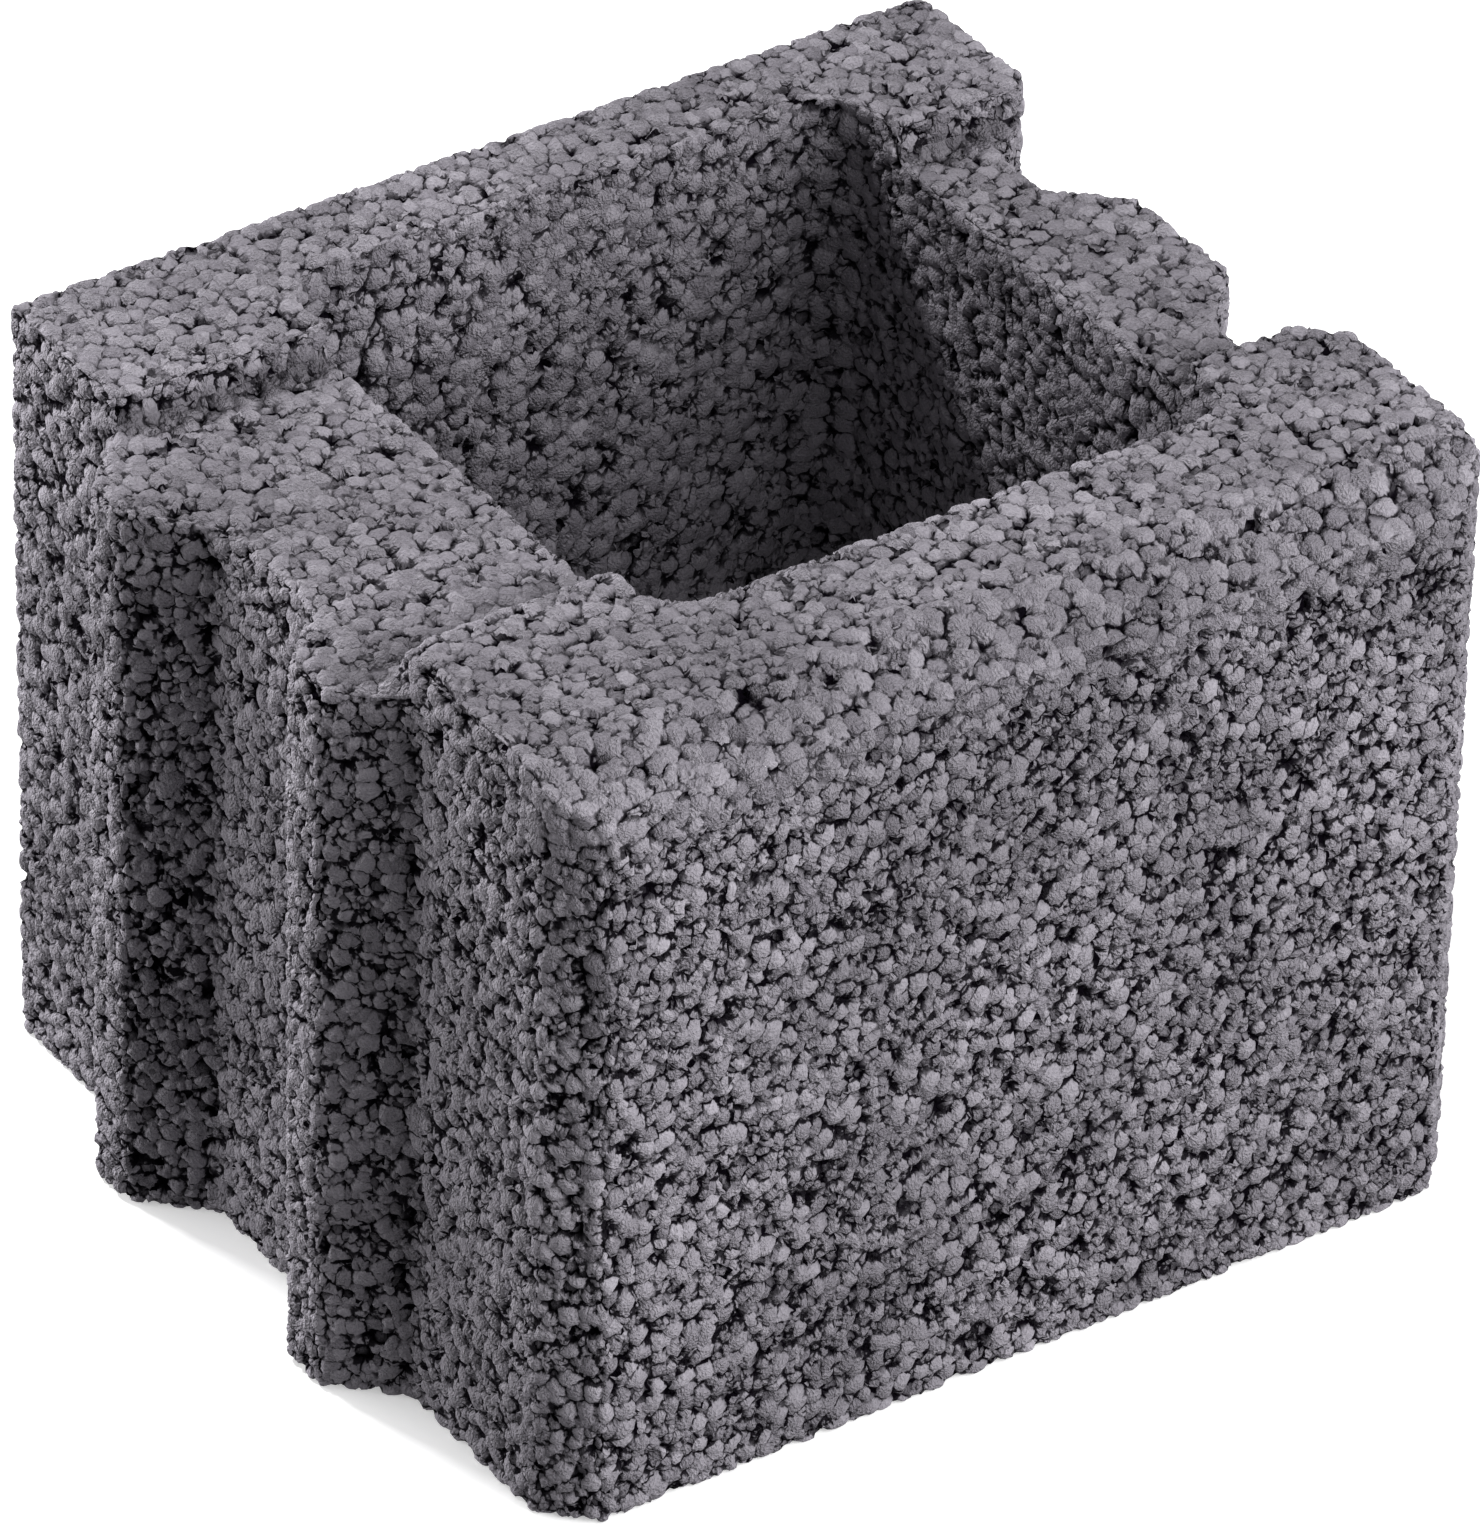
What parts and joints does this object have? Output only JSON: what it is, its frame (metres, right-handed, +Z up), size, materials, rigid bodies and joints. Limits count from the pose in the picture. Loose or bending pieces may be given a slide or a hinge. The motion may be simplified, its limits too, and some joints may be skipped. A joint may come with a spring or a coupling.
{
  "type": "hollow garden wall block",
  "caption": "Hollow garden wall block of porous dark concrete with interlocking ribs and grooves on its ends, recessed webs and a sloped front edge.",
  "frame": {"origin": "middle of the bounding box, at the bottom face", "axes": "+X along the front face from the ribbed end to the grooved end, +Y from the front face to the rear face, +Z up"},
  "size_m": [0.2656, 0.23, 0.2],
  "materials": {
    "concrete": "rough porous cast surface, through-coloured anthracite"
  },
  "bodies": {
    "root": {"block": "concrete"}
  },
  "joints": []
}
